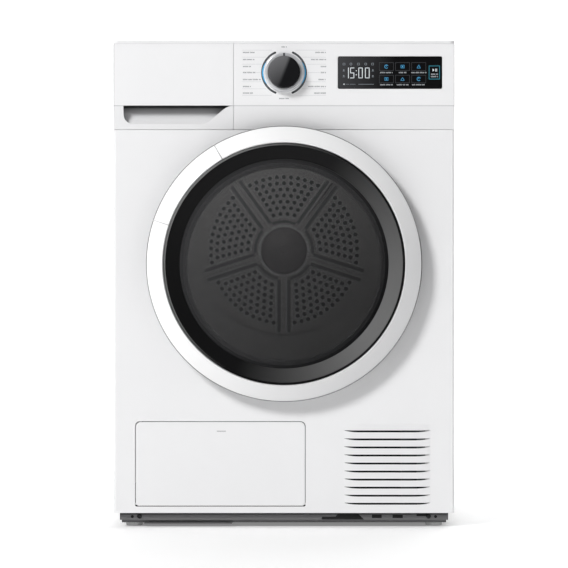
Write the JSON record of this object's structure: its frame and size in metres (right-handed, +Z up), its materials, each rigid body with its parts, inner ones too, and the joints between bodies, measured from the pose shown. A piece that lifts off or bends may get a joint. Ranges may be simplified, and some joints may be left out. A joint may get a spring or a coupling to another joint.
{
  "type": "clothes dryer",
  "caption": "Front-loading heat-pump tumble dryer: white cabinet, round dark-glass door with a white ring, top-left water tank drawer, dial, display, access flap, louvres.",
  "frame": {"origin": "on the floor under the centre of the whole machine's box, door, dial and rear duct cover included", "axes": "+X to the right seen from the front, the front with the door faces -Y, +Z up"},
  "size_m": [0.595, 0.64, 0.85],
  "materials": {
    "white_sheet": "smooth satin enamel",
    "white_plastic": "fine satin moulding",
    "door_white": "satin gloss moulding",
    "zinc_sheet": "spangled zinc-coated sheet",
    "stainless": "fine brushed",
    "drum_wall": "perforated satin sheet",
    "steel_part": "plated steel",
    "base_grey": "grained moulding",
    "light_grey": "grained moulding",
    "inner_grey": "satin moulding",
    "black_gloss": "polished black lens",
    "black_plastic": "satin black moulding",
    "silver_plastic": "satin silver moulding",
    "dark_glass": "smoked door glass",
    "clear_glass": "clear pressed glass",
    "seal_rubber": "soft matt",
    "belt_rubber": "ribbed belt",
    "felt": "pressed wool felt",
    "tank_clear": "translucent moulding",
    "board_green": "solder mask",
    "cast_black": "painted casing",
    "motor_steel": "laminated steel",
    "fin_aluminium": "thin fins",
    "copper": "drawn tube",
    "lever_blue": "satin blue moulding",
    "filter_mesh": "fine mesh in a frame",
    "foot_grey": "ribbed moulding"
  },
  "bodies": {
    "cabinet": {"base_tray": "base_grey", "left_side_panel": "white_sheet", "right_side_panel": "white_sheet", "rear_panel": "zinc_sheet", "rear_duct_cover": "zinc_sheet", "worktop": "white_plastic", "front_panel": "white_sheet", "control_panel": "white_plastic", "display_window": "black_gloss", "control_board": "board_green", "tank_housing": "light_grey", "front_bulkhead": "light_grey", "drum_felts": "felt", "shaft_bearing": "steel_part", "drive_motor": "motor_steel", "compressor": "cast_black", "evaporator": "fin_aluminium", "condenser": "fin_aluminium", "heat_pump_duct": "inner_grey", "refrigerant_pipes": "copper", "condensate_pump": "inner_grey", "drain_spigot": "inner_grey", "mains_inlet": "black_plastic", "door_lock": "black_plastic", "cabinet_screws": "steel_part", "hinge_bracket": "steel_part", "drum_belt": "belt_rubber", "heat_exchanger_cover": "inner_grey"},
    "door": {"door_ring": "door_white", "door_window": "dark_glass", "door_inner_frame": "black_plastic", "door_bowl": "clear_glass", "handle_insert": "door_white", "hinge_arm": "steel_part", "latch_hook": "steel_part", "door_seal": "seal_rubber"},
    "flap": {"access_flap": "white_plastic"},
    "lever_left": {"cover_lever_left": "lever_blue"},
    "lever_right": {"cover_lever_right": "lever_blue"},
    "tank_drawer": {"tank_front": "white_plastic", "tank_body": "tank_clear", "tank_lid": "tank_clear"},
    "dial": {"dial_cap": "black_gloss", "dial_collar": "silver_plastic"},
    "drum": {"drum_shell": "stainless", "drum_rear_wall": "drum_wall", "hub_cover": "inner_grey", "drum_shaft": "steel_part", "drum_lifters": "inner_grey"},
    "rotor": {"motor_shaft": "steel_part", "fan_wheel": "black_plastic"},
    "idler_arm": {"idler_arm": "steel_part"},
    "idler": {"idler_pulley": "black_plastic"},
    "roller_left": {"roller_left": "black_plastic"},
    "roller_right": {"roller_right": "black_plastic"},
    "filter": {"lint_filter": "filter_mesh"},
    "foot_front_left": {"foot_front_left": "foot_grey"},
    "foot_front_right": {"foot_front_right": "foot_grey"},
    "foot_rear_left": {"foot_rear_left": "foot_grey"},
    "foot_rear_right": {"foot_rear_right": "foot_grey"}
  },
  "joints": [
    {"name": "door_swing", "type": "hinge", "parent": "cabinet", "child": "door", "pos_m": [0.226, -0.302, 0.46], "axis": [0, 0, 1], "range_deg": [0, 100]},
    {"name": "flap_tilt", "type": "hinge", "parent": "cabinet", "child": "flap", "pos_m": [-0.11, -0.276, 0.0407], "axis": [1, 0, 0], "range_deg": [0, 86]},
    {"name": "lever_left_turn", "type": "hinge", "parent": "cabinet", "child": "lever_left", "pos_m": [-0.222, -0.26, 0.111], "axis": [0, 1, 0], "range_deg": [0, 90]},
    {"name": "lever_right_turn", "type": "hinge", "parent": "cabinet", "child": "lever_right", "pos_m": [0, -0.26, 0.111], "axis": [0, 1, 0], "range_deg": [0, 90]},
    {"name": "tank_slide", "type": "slide", "parent": "cabinet", "child": "tank_drawer", "axis": [0, -1, 0], "range_m": [0, 0.36]},
    {"name": "dial_turn", "type": "hinge", "parent": "cabinet", "child": "dial", "pos_m": [0, -0.3, 0.7936], "axis": [0, -1, 0], "continuous": true},
    {"name": "drum_spin", "type": "hinge", "parent": "cabinet", "child": "drum", "pos_m": [0, 0, 0.49], "axis": [0, 1, 0], "continuous": true},
    {"name": "rotor_spin", "type": "hinge", "parent": "cabinet", "child": "rotor", "pos_m": [0.2, 0, 0.19], "axis": [0, 1, 0], "continuous": true},
    {"name": "idler_arm_swing", "type": "hinge", "parent": "cabinet", "child": "idler_arm", "pos_m": [0.15, -0.03, 0.15], "axis": [0, 1, 0], "range_deg": [0, 8], "stiffness_Nm_per_rad": 6, "springref_deg": -8.59},
    {"name": "idler_spin", "type": "hinge", "parent": "idler_arm", "child": "idler", "pos_m": [0.115, -0.014, 0.203], "axis": [0, 1, 0], "continuous": true},
    {"name": "roller_left_spin", "type": "hinge", "parent": "cabinet", "child": "roller_left", "pos_m": [-0.16938, -0.195, 0.2481], "axis": [0, 1, 0], "continuous": true},
    {"name": "roller_right_spin", "type": "hinge", "parent": "cabinet", "child": "roller_right", "pos_m": [0.16938, -0.195, 0.2481], "axis": [0, 1, 0], "continuous": true},
    {"name": "filter_lift", "type": "slide", "parent": "cabinet", "child": "filter", "axis": [0, 0, 1], "range_m": [0, 0.09]},
    {"name": "foot_front_left_screw", "type": "slide", "parent": "cabinet", "child": "foot_front_left", "axis": [0, 0, -1], "range_m": [0, 0.012]},
    {"name": "foot_front_right_screw", "type": "slide", "parent": "cabinet", "child": "foot_front_right", "axis": [0, 0, -1], "range_m": [0, 0.012]},
    {"name": "foot_rear_left_screw", "type": "slide", "parent": "cabinet", "child": "foot_rear_left", "axis": [0, 0, -1], "range_m": [0, 0.012]},
    {"name": "foot_rear_right_screw", "type": "slide", "parent": "cabinet", "child": "foot_rear_right", "axis": [0, 0, -1], "range_m": [0, 0.012]}
  ],
  "couplings": [
    {"joint": "rotor_spin", "follows": "drum_spin", "ratio": 22},
    {"joint": "idler_spin", "follows": "drum_spin", "ratio": 18.333},
    {"joint": "roller_left_spin", "follows": "drum_spin", "ratio": -13.75},
    {"joint": "roller_right_spin", "follows": "drum_spin", "ratio": -13.75}
  ]
}
